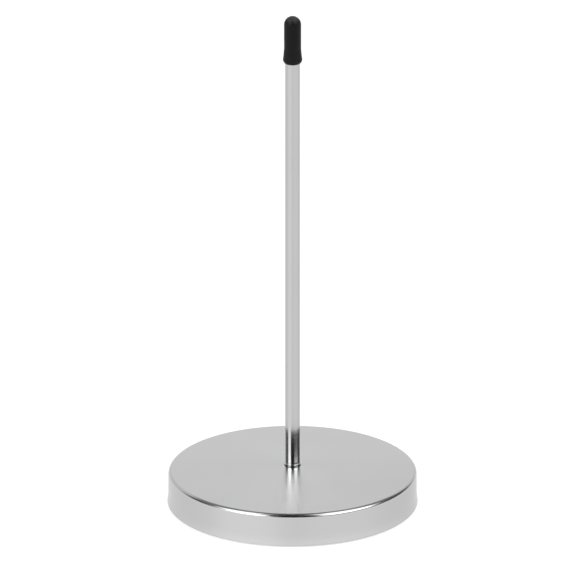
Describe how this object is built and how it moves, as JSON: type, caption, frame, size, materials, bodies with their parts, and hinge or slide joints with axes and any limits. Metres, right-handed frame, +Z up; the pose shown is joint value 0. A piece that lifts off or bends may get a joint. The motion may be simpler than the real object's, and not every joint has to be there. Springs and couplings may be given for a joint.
{
  "type": "bill spike",
  "caption": "Desk spike for filing paper slips: a weighted round chromed base, an upright pointed spindle and a soft cap that pulls off the point.",
  "frame": {"origin": "on the table, in the middle of the underside of the pad, under the spindle", "axes": "+Z up along the spindle; the object is round, so +X and +Y are free, and the picture looks along +Y from above"},
  "size_m": [0.08, 0.08, 0.1653],
  "materials": {
    "base_chrome": "polished",
    "cast_weight": "matte",
    "spindle_chrome": "polished",
    "zinc_plate": "satin",
    "spring_steel": "satin",
    "pad_foam": "matte",
    "cap_vinyl": "satin"
  },
  "bodies": {
    "stand": {"base_shell": "base_chrome", "ballast_weight": "cast_weight", "spindle": "spindle_chrome", "flat_washer": "zinc_plate", "lock_washer": "spring_steel", "hex_nut": "zinc_plate", "base_pad": "pad_foam"},
    "cap": {"safety_cap": "cap_vinyl"}
  },
  "joints": [
    {"name": "cap_pull", "type": "slide", "parent": "stand", "child": "cap", "axis": [0, 0, 1], "range_m": [0, 0.06]}
  ]
}
